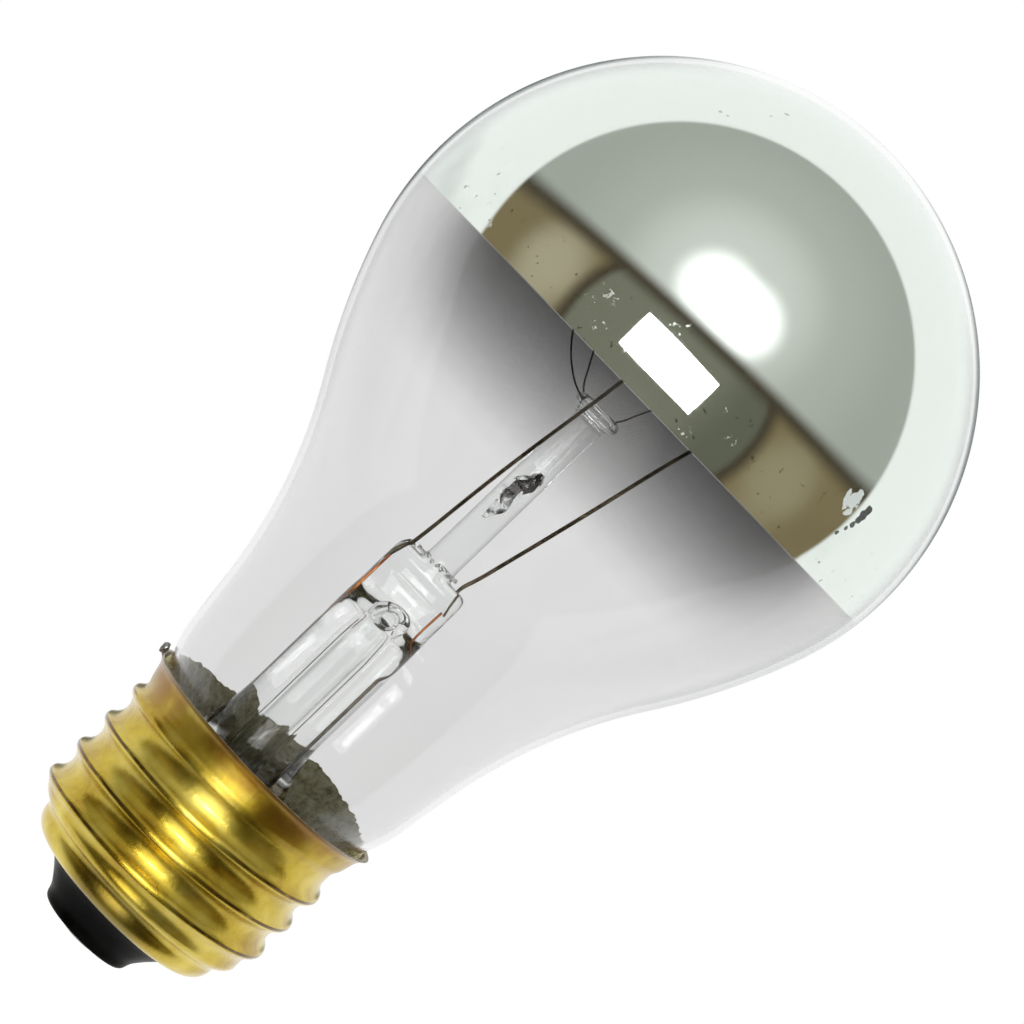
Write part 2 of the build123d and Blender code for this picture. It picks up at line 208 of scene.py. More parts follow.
def envelope_arcs():
    """Centre, signed radius and normal angles of each arc of the glass outline, in millimetres."""
    flank_out = outward(-flank_start_angle)
    neck_out = outward(-neck_taper_angle)
    bulb = bulb_radius / mm
    crown = np.array([0, bulb_centre_z / mm])
    neck_point = np.array([crest_radius + neck_overhang, rim_z / mm + neck_above_rim])
    neck_top = neck_point + neck_straight_length * outward(90 - neck_taper_angle)
    to_neck = neck_top - crown - bulb * flank_out
    reach = to_neck @ (flank_out + waist_to_flank_ratio * neck_out)
    bend = 2 * waist_to_flank_ratio * (1 - flank_out @ neck_out)
    flank_radius = (reach + math.sqrt(reach**2 + bend * (to_neck @ to_neck))) / bend
    waist_radius = waist_to_flank_ratio * flank_radius
    flank = crown + (bulb - flank_radius) * flank_out
    waist = neck_top + waist_radius * neck_out
    waist_angle = math.degrees(math.atan2(waist[1] - flank[1], waist[0] - flank[0]))
    shoulder = neck_point - shoulder_radius * neck_out
    tail_angle = -neck_taper_angle - shoulder_turn_angle
    tail = shoulder + (shoulder_radius + tail_radius) * outward(tail_angle)
    return [
        (crown, bulb, 90, -flank_start_angle),
        (flank, flank_radius, -flank_start_angle, waist_angle),
        (waist, -waist_radius, waist_angle, -neck_taper_angle),
        (shoulder, shoulder_radius, -neck_taper_angle, tail_angle),
        (tail, -tail_radius, tail_angle, -tail_taper_angle),
    ]


def glass_outline(inset, step=0.8):
    """Points of the glass outline moved inwards, from the crown to the seal, in metres."""
    points = []
    for centre, radius, start, stop in envelope_arcs():
        count = max(6, round(abs(radius * math.radians(stop - start)) / step))
        angles = np.linspace(start, stop, count + 1)
        points += [centre + (radius - inset) * outward(a) for a in angles]
    foot = points[-1]
    drop = foot[1] - seal_z / mm
    points.append(np.array([foot[0] - drop * math.tan(math.radians(tail_taper_angle)), seal_z / mm]))
    nearest = 1e-3
    kept = [points[0]]
    for p in points[1:]:
        if np.linalg.norm(p - kept[-1]) > nearest:
            kept.append(p)
    return np.array(kept) * mm


def glass_radius_at(z, inset=0.0):
    """Radius of the glass at one height or at several, in metres."""
    outline = glass_outline(inset)[::-1]
    return np.interp(z, outline[:, 1], outline[:, 0])


# Materials
class Painter:
    """Builds a tree of nodes step by step; a value is a number, a colour or another node's socket."""

    def __init__(self, tree):
        self.nodes = tree.nodes
        self.links = tree.links

    def fill(self, socket, value):
        """Sets a socket to a number, a vector or a colour, or links it."""
        if isinstance(value, (int, float)):
            socket.default_value = value
        elif isinstance(value, tuple):
            socket.default_value = value if socket.type == "VECTOR" else (*value, 1)
        else:
            self.links.new(value, socket)

    def node(self, kind, inputs=(), **values):
        """New node with its settings, and with its inputs by name or number."""
        made = self.nodes.new(kind)
        for key, value in values.items():
            setattr(made, key, value)
        for key, value in dict(inputs).items():
            self.fill(made.inputs[key], value)
        return made

    def maths(self, operation, a, b=0.0, clamp=False):
        made = self.node("ShaderNodeMath", {0: a, 1: b}, operation=operation, use_clamp=clamp)
        return made.outputs[0]

    def vectors(self, operation, *vectors, output="Value"):
        """Result of vector maths on vectors, each three numbers or a socket."""
        made = self.node("ShaderNodeVectorMath", enumerate(vectors), operation=operation)
        return made.outputs[output]

    def times(self, *factors):
        result = factors[0]
        for factor in factors[1:]:
            result = self.maths("MULTIPLY", result, factor)
        return result

    def mix(self, factor, a, b):
        """Blend of two colours, which the node takes at its sockets 6 and 7."""
        return self.node("ShaderNodeMix", {0: factor, 6: a, 7: b}, data_type="RGBA").outputs[2]

    def between(self, source, low, high, at_low=0.0, at_high=1.0):
        """Smooth step from one value to another while the source goes from low to high."""
        limits = {"Value": source, "From Min": low, "From Max": high, "To Min": at_low, "To Max": at_high}
        return self.node("ShaderNodeMapRange", limits, interpolation_type="SMOOTHSTEP").outputs["Result"]


class Paint(Painter):
    """A material whose shader is filled in step by step."""

    def __init__(self, name):
        self.material = bpy.data.materials.new(name)
        self.material.use_nodes = True
        super().__init__(self.material.node_tree)
        self.shader = self.nodes["Principled BSDF"]

    def set(self, **values):
        for key, value in values.items():
            self.fill(self.shader.inputs[key.replace("_", " ")], value)
        return self

    def place(self):
        """Place on the object, in metres."""
        return self.node("ShaderNodeTexCoord").outputs["Object"]

    def coordinate(self, axis="Z"):
        """Place along one axis, in metres."""
        return self.node("ShaderNodeSeparateXYZ", {0: self.place()}).outputs[axis]

    def aside(self, axis):
        """Distance to either side of the lamp's axis, in metres."""
        return self.maths("ABSOLUTE", self.coordinate(axis))

    def facing(self):
        """How far the surface turns away, from 0 where it is seen square on to 1 at its outline."""
        return self.node("ShaderNodeLayerWeight").outputs["Facing"]

    def noise(self, scale, detail=3.0, roughness=0.55):
        grain = {"Vector": self.place(), "Scale": scale, "Detail": detail, "Roughness": roughness}
        return self.node("ShaderNodeTexNoise", grain).outputs["Fac"]

    def ramp(self, source, stops):
        """Colours at stops along a value."""
        made = self.node("ShaderNodeValToRGB", {"Fac": source})
        elements = made.color_ramp.elements
        while len(elements) < len(stops):
            elements.new(0.5)
        for element, (spot, colour) in zip(elements, stops):
            element.position = spot
            element.color = (*colour, 1)
        return made.outputs["Color"]

    def distance(self, place, scale=0.0, waver=0.0):
        """Distance from a place in millimetres, in metres, wavering a little."""
        away = self.vectors("DISTANCE", self.place(), tuple(v * mm for v in place))
        if not scale:
            return away
        shake = self.times(self.maths("SUBTRACT", self.noise(scale), 0.5), 2 * waver)
        return self.maths("ADD", away, shake)

    def off_axis(self, x=0.0):
        """Distance from an upright line that crosses the X axis, in metres."""
        flat = self.vectors("MULTIPLY_ADD", self.place(), (1, 1, 0), (-x, 0, 0), output="Vector")
        return self.vectors("LENGTH", flat)

    def bump(self, source, distance, strength):
        made = self.node("ShaderNodeBump", {"Strength": strength, "Distance": distance, "Height": source})
        self.set(Normal=made.outputs["Normal"])


def grey(tone):
    """Colour of a plain grey."""
    return (tone, tone, tone)


# Painted shadow of the mirrored crown on the glass, darkest just below the film's edge and fading out
# downwards: share of the depth, and tone
glass_painted_shadow_depth = 50 * mm
glass_painted_shadow = [(0.0, 0.28), (0.02, 0.32), (0.06, 0.40), (0.12, 0.54), (0.18, 0.70), (0.25, 0.86),
               (0.4, 0.87), (0.7, 0.88), (1.0, 0.88)]


def clear_glass():
    """Blown glass, painted grey as shade seen through it, with painted shadow darkest below the edge of the
    mirror film, and painted darker at its outline at the sides.
    """
    # Painted shade: this grey of the clear glass stands in for the shaded backdrop seen through it
    painted_shade_grey = grey(0.84)
    filmed = (0.95, 0.985, 0.965)
    # Painted dark outline where the glass turns away at its sides
    outline = (0.16, 0.18, 0.18)
    paint = Paint("clear_glass").set(Transmission_Weight=1.0, Roughness=0.0, IOR=1.5,
                                     Specular_Tint=grey(0.35))
    z = paint.coordinate()
    # Painted shadow of the mirrored crown: darkest just below the film's edge, fading downwards, lighter at
    # the sides
    depth = paint.maths("DIVIDE", paint.maths("SUBTRACT", mirror_edge_z, z), glass_painted_shadow_depth)
    painted_shadow = paint.ramp(depth, [(spot, grey(tone)) for spot, tone in glass_painted_shadow])
    sides = paint.between(paint.aside("Y"), 13 * mm, 23 * mm, 0.9, 0.0)
    above = paint.between(z, mirror_edge_z - 0.1 * mm, mirror_edge_z)
    tone = paint.mix(above, paint.mix(sides, painted_shadow, painted_shade_grey), filmed)
    # Painted shade: dark outline at the sides of the glass
    beside = paint.between(paint.aside("X"), 12 * mm, 22 * mm)
    painted_dark_edge = paint.times(paint.between(paint.facing(), 0.7, 0.95), beside)
    paint.set(Base_Color=paint.mix(painted_dark_edge, tone, outline))
    paint.bump(paint.noise(45, 2), 0.05 * mm, 0.25)
    return paint.material


def stem_glass():
    """Drawn and fused glass of the stem, with painted dark edges where it turns away, kept faint round the
    exhaust hole, and dark patches in its bubble.
    """
    drawn = [(0.3, (0.92, 0.94, 0.93)), (0.7, (0.97, 0.98, 0.975))]
    # Painted dark edge where the glass turns away
    outline = (0.3, 0.31, 0.3)
    bubble_dark = (0.05, 0.045, 0.045)
    bubble_dark_level = 57.5 * mm
    bubble_dark_lean = 45.0
    dome_z = press_base_z - 0.6 * mm
    low = bubble_low * mm
    high = (bubble_low + bubble_length) * mm
    paint = Paint("stem_glass").set(Transmission_Weight=1.0, Roughness=0.0, IOR=1.51,
                                    Specular_Tint=grey(0.6))
    z = paint.coordinate()
    off_dome = paint.maths("ABSOLUTE", paint.maths("SUBTRACT", z, dome_z))
    calm = paint.between(off_dome, 1.4 * mm, 2.2 * mm, 0.15, 1.0)
    # Painted shade: dark edges where the glass turns away, faint round the exhaust hole
    painted_dark_edge = paint.times(paint.between(paint.facing(), 0.2, 0.8), calm)
    tone = paint.mix(painted_dark_edge, paint.ramp(paint.noise(120), drawn), outline)
    # Dark patches on the glass inside the bubble, leaning with height
    inside = paint.between(paint.off_axis(stem_x), 1.25 * mm, 1.15 * mm)
    above = paint.between(z, low - 0.6 * mm, low - 0.2 * mm)
    below = paint.between(z, high + 0.6 * mm, high + 0.2 * mm)
    lean = paint.times(paint.maths("SUBTRACT", z, bubble_dark_level), bubble_dark_lean)
    patches = paint.between(paint.maths("ADD", paint.noise(900), lean), 0.38, 0.52)
    paint.set(Base_Color=paint.mix(paint.times(inside, above, below, patches), tone, bubble_dark))
    paint.bump(paint.noise(200, 1), 0.04 * mm, 0.2)
    return paint.material


# Scars of the film with the reach of their flecks, the last of them a painted glint at the left end of the
# film's edge, and chips with their reach and tone, in millimetres
film_scars_and_glint = [
    ((-8.7, -27.5, 75.8), 1.0), ((-8.4, -27.5, 77.1), 1.1), ((-7.3, -27.8, 77.4), 0.9),
    ((-6.7, -28.0, 74.8), 1.0), ((-3.9, -28.5, 75.2), 0.7), ((-1.9, -28.5, 79.7), 1.1),
    ((5.9, -28.2, 77.2), 1.0), ((8.1, -27.7, 76.0), 0.8), ((4.9, -28.2, 73.6), 0.9),
    # Painted glint at the left end of the film's edge, drawn as white flecks like the scars
    ((-19.7, -20.8, 74.0), 0.9),
]
film_chips = [
    ((21.0, -19.3, 80.5), 0.42, 0.02), ((20.95, -19.4, 79.9), 0.45, 0.02), ((20.9, -19.6, 79.3), 0.4, 0.02),
    ((20.8, -19.7, 78.7), 0.3, 0.03), ((20.6, -19.95, 78.0), 0.22, 0.05), ((20.3, -20.3, 77.2), 0.22, 0.1),
    ((19.3, -21.0, 80.1), 1.0, 0.9), ((19.7, -20.7, 79.2), 0.5, 0.9), ((-12.9, -16.9, 95.3), 0.2, 0.6),
    ((-12.2, -17.2, 95.5), 0.12, 0.6), ((-8.8, -14.0, 99.5), 0.22, 0.55), ((-9.6, -15.3, 98.3), 0.16, 0.6),
]
white_chip = 0.8


def mirror_film():
    """Silver film with pinholes near its edge, scars, a painted glint, chips and dull smears at its sides."""
    silver = (0.88, 0.885, 0.865)
    pinhole = (0.35, 0.36, 0.35)
    scar_white_and_glint = (0.98, 0.98, 0.95)
    dull = (0.62, 0.64, 0.63)
    paint = Paint("mirror_film").set(Metallic=1.0)
    specks = paint.between(paint.noise(1500, 2), 0.69, 0.72)
    near_edge = paint.between(paint.coordinate(), mirror_edge_z + 9 * mm, mirror_edge_z + 1 * mm)
    colour = paint.mix(paint.times(specks, near_edge), silver, pinhole)
    rough = paint.between(paint.noise(300), 0.2, 0.8, 0.02, 0.05)
    # White flecks at the scars, and at the last place a painted glint
    for place, reach in film_scars_and_glint:
        near = paint.between(paint.distance(place), reach * mm, 0.4 * reach * mm)
        scar_marks_and_glint = paint.times(paint.between(paint.noise(1500, 3, 0.7), 0.57, 0.62), near)
        colour = paint.mix(scar_marks_and_glint, colour, scar_white_and_glint)
        rough = paint.maths("ADD", rough, paint.times(scar_marks_and_glint, 0.4))
    metallic = 1.0
    for place, reach, tone in film_chips:
        outer = 1.1 * reach * mm
        chip = paint.between(paint.distance(place, 1100, outer), outer, 0.95 * reach * mm)
        colour = paint.mix(chip, colour, grey(tone))
        rough = paint.maths("ADD", rough, paint.times(chip, 0.2))
        if tone > white_chip:
            metallic = paint.times(metallic, paint.maths("SUBTRACT", 1.0, chip))
    smear = paint.between(paint.noise(55), 0.5, 0.72)
    beside = paint.between(paint.aside("X"), 15 * mm, 24 * mm)
    colour = paint.mix(paint.times(smear, beside), colour, dull)
    return paint.set(Base_Color=colour, Roughness=rough, Metallic=metallic).material


def cap_brass():
    """Rolled brass, satin on the skirt, with brown tarnish in places and painted shade as dark lines on the
    crests at the sides.
    """
    tarnish = [(0.32, (0.40, 0.25, 0.012)), (0.5, (0.58, 0.43, 0.04)), (0.68, (0.72, 0.58, 0.11))]
    rim_brown = (0.30, 0.145, 0.022)
    crest_painted_shade = (0.10, 0.05, 0.01)
    nose_brown = (0.16, 0.11, 0.015)
    lip_brown = (0.12, 0.06, 0.012)
    crest = crest_radius * mm
    paint = Paint("cap_brass").set(Metallic=1.0, Anisotropic=0.75, Anisotropic_Rotation=0.25,
                                   Coat_Weight=0.35, Coat_Roughness=0.12)
    grooves = paint.node("ShaderNodeTangent", direction_type="RADIAL", axis="Z")
    patches = paint.noise(210, 4)
    z = paint.coordinate()
    beside = paint.between(paint.aside("X"), 2.5 * mm, 6.5 * mm)
    near_rim = paint.between(z, rim_z - 4.5 * mm, rim_z - 0.4 * mm)
    stain = paint.times(near_rim, paint.between(paint.noise(130, 4), 0.28, 0.58))
    colour = paint.mix(stain, paint.ramp(patches, tarnish), rim_brown)
    # Painted shade: dark lines along the crests at the sides of the cap
    on_crest = paint.between(paint.off_axis(), crest - 0.035 * mm, crest - 0.012 * mm)
    threaded = paint.between(z, cap_base_z + 2.8 * mm, cap_base_z + 3.6 * mm)
    below_skirt = paint.between(z, rim_z - 3.0 * mm, rim_z - 3.8 * mm)
    uneven = paint.between(paint.noise(500, 4), 0.25, 0.55, 0.5, 0.95)
    colour = paint.mix(paint.times(on_crest, threaded, below_skirt, beside, uneven), colour, crest_painted_shade)
    nose = paint.between(z, cap_base_z + 3.0 * mm, cap_base_z + 2.4 * mm, 0.0, 0.75)
    colour = paint.mix(paint.times(nose, paint.maths("SUBTRACT", 1.0, beside)), colour, nose_brown)
    at_lip = paint.between(z, rim_z - 0.42 * mm, rim_z - 0.3 * mm, 0.0, 0.7)
    colour = paint.mix(at_lip, colour, lip_brown)
    satin = paint.between(z, rim_z - 3.6 * mm, rim_z - 2.8 * mm, 0.0, 0.14)
    rough = paint.maths("ADD", paint.between(patches, 0.3, 0.7, 0.24, 0.34), satin)
    paint.set(Base_Color=colour, Roughness=rough, Tangent=grooves.outputs["Tangent"])
    paint.bump(paint.noise(1500, 4, 0.65), 0.03 * mm, 0.7)
    return paint.material


def plain_metal(name, low, high, scale, roughness, bump=0.01):
    """Metal whose tone wanders between two colours."""
    paint = Paint(name).set(Metallic=1.0)
    tone = paint.noise(scale, 4)
    paint.set(Base_Color=paint.ramp(tone, [(0.35, low), (0.65, high)]))
    paint.set(Roughness=paint.between(tone, 0.3, 0.7, *roughness))
    paint.bump(paint.noise(scale * 4), bump * mm, 0.6)
    return paint.material


def black_glass():
    """Moulded black glass."""
    blacks = [(0.35, grey(0.002)), (0.7, (0.005, 0.006, 0.005))]
    paint = Paint("black_glass").set(IOR=1.45, Specular_IOR_Level=0.02)
    tone = paint.noise(400)
    paint.set(Base_Color=paint.ramp(tone, blacks), Roughness=paint.between(tone, 0.3, 0.7, 0.22, 0.38))
    paint.bump(paint.noise(700), 0.04 * mm, 0.4)
    return paint.material


def cement_stone():
    """Granular grey-brown cement."""
    grains = [(0.34, (0.22, 0.20, 0.09)), (0.5, (0.62, 0.57, 0.30)), (0.66, (0.88, 0.84, 0.56))]
    paint = Paint("cement").set(Roughness=0.9)
    paint.set(Base_Color=paint.ramp(paint.noise(900, 5, 0.7), grains))
    paint.bump(paint.noise(1800, 4, 0.7), 0.3 * mm, 0.9)
    return paint.material


own_finishes = {"clear_glass": clear_glass, "stem_glass": stem_glass, "mirror_film": mirror_film,
                "cap_brass": cap_brass, "black_glass": black_glass, "cement": cement_stone}
# Darkest and lightest colour, scale of the patches, range of roughness, and height of bumps in millimetres
plain_metals = {
    "eyelet_brass": ((0.5, 0.36, 0.1), (0.72, 0.58, 0.22), 300, (0.25, 0.4)),
    "solder": ((0.18, 0.17, 0.16), (0.55, 0.55, 0.54), 900, (0.35, 0.55), 0.03),
    "copper_sheath": ((0.32, 0.07, 0.03), (0.85, 0.36, 0.14), 350, (0.25, 0.45)),
    "lead_wire": ((0.09, 0.075, 0.05), (0.30, 0.25, 0.18), 500, (0.3, 0.5)),
    "support_wire": ((0.08, 0.075, 0.065), (0.2, 0.19, 0.17), 600, (0.3, 0.5)),
    "tungsten": (grey(0.12), grey(0.3), 600, (0.35, 0.5)),
}
finishes = {slot: make() for slot, make in own_finishes.items()}
finishes |= {slot: plain_metal(slot, *look) for slot, look in plain_metals.items()}


def dress(made, slot):
    """Gives an object the finish of its slot and no other."""
    made.data.materials.clear()
    made.data.materials.append(finishes[slot])


def finish_piece(made, slot, *nodes):
    """Gives a new piece its finish and its body, and hides the nodes that it stands for."""
    dress(made, slot)
    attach(made, "root")
    if nodes:
        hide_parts(*nodes)


def repaint_nodes():
    """Gives each CAD node the finish of its own slot."""
    for part in frame["record"]["subparts"]:
        dress(frame["nodes"][part["node"]], part["material_slot"])


# Glass envelope and mirror film
def make_envelope():
    """Glass wall from the crown to the seal."""
    outer = glass_outline(0)
    inner = glass_outline(glass_wall)[::-1]
    made = lathe("envelope_glass", np.vstack([outer, inner]), columns=192)
    finish_piece(made, "clear_glass", "glass_envelope")


def make_mirror():
    """Thin film just inside the glass, down to its level edge."""
    film = 0.04 * mm
    gap = 0.015 * mm
    section = []
    outer_radius = bulb_radius - glass_wall * mm - gap
    for radius, order in ((outer_radius, 1), (outer_radius - film, -1)):
        edge_angle = -math.degrees(math.asin((bulb_centre_z - mirror_edge_z) / radius))
        angles = np.linspace(90, edge_angle, 64)
        section += [np.array([0, bulb_centre_z]) + radius * outward(a) for a in angles][::order]
    finish_piece(lathe("crown_mirror", section, columns=256), "mirror_film", "mirror_coating")


# Screw cap
def thread_rise(z, angle):
    """Height of the knuckle thread above its roots, at a height and bearing, in millimetres."""
    flank = 2 * math.atan(2 * thread_depth / thread_pitch)
    root_round = thread_pitch / 2 / math.sin(flank) - crest_round
    start = (angle - math.radians(thread_start_angle)) / tau
    turn = (z - thread_start_z) / thread_pitch - start
    far = np.abs((turn - np.round(turn)) * thread_pitch)
    crest = thread_depth - crest_round + np.sqrt(np.maximum(crest_round**2 - far**2, 0))
    root = root_round - np.sqrt(np.maximum(root_round**2 - (thread_pitch / 2 - far) ** 2, 0))
    rise = np.where(far < crest_round * math.sin(flank), crest, root)
    run = np.round(turn) + start
    fade = np.clip(np.minimum(run, thread_turns - run) / thread_fade_turns, 0, 1)
    return rise * fade * fade * (3 - 2 * fade)


def cap_outline():
    """Half section of the cap's outside without its thread, from the nose opening to the lip."""
    base = cap_base_z / mm
    rim = rim_z / mm
    root = crest_radius - thread_depth
    opening = 8.35
    nose_radius = 10.95
    nose_round = 1.8
    centre = np.array([nose_radius - nose_round, base + nose_round])
    points = [(opening, base)]
    points += [tuple(centre + nose_round * outward(a)) for a in np.linspace(-90, 0, 18)]
    points += [(nose_radius, base + 2.1), (11.25, base + 2.6), (12.0, base + 3.0), (root, base + 3.5)]
    points += [(root, z) for z in np.arange(base + 3.7, rim - 3.4, 0.1)]
    points += [(root, rim - 3.3), (12.42, rim - 2.9), (12.7, rim - 2.45), (12.85, rim - 1.9)]
    points += [(13.0, rim - 1.3), (13.15, rim - 0.75), (13.4, rim - 0.38), (13.68, rim - 0.1), (13.8, rim)]
    return resample(smooth_line(points), 200)


def smooth_line(points):
    """Two rounds of corner-cutting that keep both ends."""
    line = np.array(points)
    for _ in range(2):
        first = 0.75 * line[:-1] + 0.25 * line[1:]
        second = 0.25 * line[:-1] + 0.75 * line[1:]
        cut = np.empty((2 * len(first), 2))
        cut[0::2] = first
        cut[1::2] = second
        line = np.vstack([line[:1], cut, line[-1:]])
    return line


def resample(line, count):
    """Evenly spaced points along a line."""
    along = np.concatenate([[0], np.cumsum(np.linalg.norm(np.diff(line, axis=0), axis=1))])
    spots = np.linspace(0, along[-1], count)
    return np.column_stack([np.interp(spots, along, line[:, i]) for i in range(line.shape[1])])


def make_shell():
    """Rolled brass cap with its knuckle thread, one sheet thick."""
    columns = 240
    outline = cap_outline()
    tangent = np.gradient(outline, axis=0)
    tangent /= np.linalg.norm(tangent, axis=1, keepdims=True)
    normal = np.column_stack([tangent[:, 1], -tangent[:, 0]])
    rise = thread_rise(outline[:, 1:], bearings(columns)[None, :])
    skins = []
    for inset, order in ((0, 1), (shell_wall, -1)):
        skin = outline - inset * normal
        skins.append(spin(skin[:, :1] + rise, skin[:, 1:], columns)[::order])
    points = np.concatenate(skins) * mm
    points[:, :, 2] = np.minimum(points[:, :, 2], rim_z)
    finish_piece(loop_solid("threaded_cap", points), "cap_brass", "screw_shell")


# Insulator and solder
def make_insulator():
    """Black glass stub with a low lip and slightly uneven sides, and its fill inside the nose."""
    base = insulator_low.z / mm
    cap = cap_base_z / mm
    top = insulator_high.z / mm
    waver = 0.05 * mm
    lip = [(1.5, base), (4.5, base), (4.55, base - 0.35), (4.85, base - 0.45), (5.1, base - 0.2)]
    side = [(5.24, base + 0.34), (5.45, base + 0.8), (5.85, base + 1.35), (6.45, base + 2.1)]
    side += [(7.2, base + 2.9), (7.85, base + 3.45), (8.33, cap)]
    fill = [(8.33, cap + 0.3), (10.6, cap + 1.9), (10.6, top), (6.5, top)]
    fill += [(3.0, base + 3.0), (1.5, base + 3.0)]
    outline = smooth_line(lip + side + fill)
    section = resample(np.vstack([outline, outline[:1]]), 150)[:-1] * mm

    def uneven(grid):
        """Moves the outside below the cap in and out a little."""
        for p in grid.reshape(-1, 3):
            reach = math.hypot(p[0], p[1])
            if 3 * mm < reach and p[2] < cap_base_z - 0.3 * mm:
                p[:2] *= 1 + noise.noise(Vector(p) * 190) * waver / reach
        return grid

    finish_piece(lathe("black_insulator", section, columns=160, shift=uneven), "black_glass", "insulator")


def make_side_bead():
    """Uneven bead of solder on the rim."""
    radii = Vector((0.36, 0.42, 0.6)) * mm
    unevenness = 0.3
    centre = (bead_low + bead_high) / 2
    net = bmesh.new()
    bmesh.ops.create_icosphere(net, subdivisions=5, radius=1)
    for v in net.verts:
        wave = 1 + unevenness * noise.noise(centre * 300 + v.co * 1.5)
        v.co = centre + v.co * radii * wave
    mesh = bpy.data.meshes.new("rim_solder")
    net.to_mesh(mesh)
    net.free()
    mesh.shade_smooth()
    finish_piece(add_object("rim_solder", mesh), "solder", "side_solder")


# Cement: bearings in degrees and rough heights of its edge above the rim in millimetres
cement_lumps = [(0, -0.1), (15, -0.2), (40, 0.3), (60, 0.75), (71, 0.95), (84, 0.1), (95, -0.35), (107, -0.6),
                (125, -0.2), (140, -0.55), (165, -0.4), (200, -0.7), (270, -0.7), (340, -0.7), (360, -0.1)]
far_side_end = 185
far_side_lift = 0.45
far_side_least = 0.3


def cement_edge(angle):
    """Height of the cement's ragged edge above the rim, which stands higher on the far side."""
    spots, heights = zip(*cement_lumps)
    here = Vector((*outward(angle), 0))
    ragged = 0.32 * noise.noise(here * 7) + 0.2 * noise.noise(here * 23) + 0.1 * noise.noise(here * 60)
    height = float(np.interp(angle % 360, spots, heights))
    if angle % 360 < far_side_end:
        return max(height + far_side_lift, far_side_least) + ragged
    return height + 0.5 * ragged


def shell_limit(z):
    """Radius just inside the cap at a height in millimetres."""
    root_limit = 11.95
    skirt_start = rim_z / mm - 3.3
    skirt_slope = 0.42
    return root_limit + max(z - skirt_start, 0) * skirt_slope


def make_cement():
    """Ring of cement between neck and cap, which stands ragged on the glass above the rim."""
    columns = 720
    rim = rim_z / mm
    low = rim - cement_depth
    steps = 100
    glass_radii = glass_radius_at((low + np.arange(12 * steps) / steps) * mm) / mm
    inner_rows, outer_rows = [], []
    for share in np.linspace(0, 1, 40):
        inner, outer = [], []
        for bearing in np.arange(columns) * 360 / columns:
            top = rim + cement_edge(bearing)
            z = top + (low - top) * share
            glass = glass_radii[min(max(int((z - low) * steps), 0), len(glass_radii) - 1)]
            here = Vector((*outward(bearing), z / 12))
            grain = 0.06 * noise.noise(here * 90) + 0.06 * noise.noise(here * 37)
            smear = glass + 0.12 + 0.10 * min(1, max(0, (top - z) / 0.4)) + grain
            filled = min(1, max(0, (rim - 0.1 - z) / 0.35))
            wall = shell_limit(z)
            inner.append((glass + 0.02, z))
            outer.append((min(smear + (wall - smear) * filled, max(wall, glass + 0.05)), z))
        inner_rows.append(inner)
        outer_rows.append(outer)
    rows = np.array(inner_rows + outer_rows[::-1])
    points = spin(rows[:, :, 0], rows[:, :, 1], columns) * mm
    finish_piece(loop_solid("ragged_cement", points), "cement", "basing_cement")


# Stem glass
def ring(width, depth, z, x, columns, power=2.0):
    """Ring of points on a superellipse, in millimetres."""
    angles = bearings(columns)
    c, s = np.cos(angles), np.sin(angles)
    px = np.sign(c) * np.abs(c) ** (2 / power) * width / 2
    py = np.sign(s) * np.abs(s) ** (2 / power) * depth / 2
    return np.column_stack([px + x, py, np.full(columns, z)])


def stem_solid(name, columns, sizes):
    """Solid on the stem's axis through rings of a width, a depth, a height and at times a power."""
    return capped_solid(name, [ring(*size[:3], stem_x / mm, columns, *size[3:]) for size in sizes])


def join(body, other, operation="UNION"):
    """Adds another solid to a body, or cuts it away."""
    change = body.modifiers.new("join", "BOOLEAN")
    change.operation = operation
    change.object = other
    change.solver = "EXACT"
    apply_modifiers(body)
    bpy.data.objects.remove(other)


def apply_modifiers(made):
    """Replaces an object's mesh by the one its modifiers make."""
    graph = bpy.context.evaluated_depsgraph_get()
    mesh = bpy.data.meshes.new_from_object(made.evaluated_get(graph))
    made.modifiers.clear()
    made.data = mesh


def make_flare():
    """Flare tube on its trumpet foot, narrowed where the press begins."""
    columns = 96
    base = press_base_z / mm
    foot_z = seal_z / mm + 1.2
    foot_radius = glass_radius_at((foot_z + 0.05) * mm, glass_wall) / mm + 0.1
    tube_z = foot_z + flare_height
    heights = [*np.linspace(foot_z - 1.2, foot_z, 4), *np.linspace(foot_z + 0.5, tube_z, 30)]
    heights += [*np.linspace(tube_z + 0.5, base + 1.0, 16)]
    outside, hollow = [], []
    for z in heights:
        rest = (1 - min(max((z - foot_z) / flare_height, 0), 1)) ** 2
        width = 2 * (flare_radius + (foot_radius - flare_radius) * rest)
        bore = width - 2 * flare_wall
        x = stem_x / mm * (1 - rest)
        squash = min(max((z - base + 2.5) / 3.5, 0), 1) ** 2
        outside.append(ring(width, width * (1 - 0.12 * squash), z, x, columns))
        hollow.append(ring(bore, bore * (1 - 0.2 * squash), z, x, columns))
    hollow[0][:, 2] -= 0.5
    hollow[-1][:, 2] -= 0.9
    body = capped_solid("fused_stem", outside)
    join(body, capped_solid("stem_hollow", hollow), "DIFFERENCE")
    return body


def make_press():
    """Flattened block in which the wires are sealed."""
    base = press_base_z / mm
    top = press_top_z / mm
    return stem_solid("press_block", 96, [
        (8.8, 8.2, base - 0.3), (8.8, 7.0, base + 0.6, 2.2), (8.7, 5.2, base + 2.0, 2.5),
        (8.6, 4.2, base + 3.4, 2.9), (8.6, 3.8, base + 5.0, 3.2), (8.5, 3.8, top - 0.9, 3.2),
        (8.2, 3.5, top - 0.35, 3.0), (7.4, 2.9, top - 0.05, 2.6),
    ])


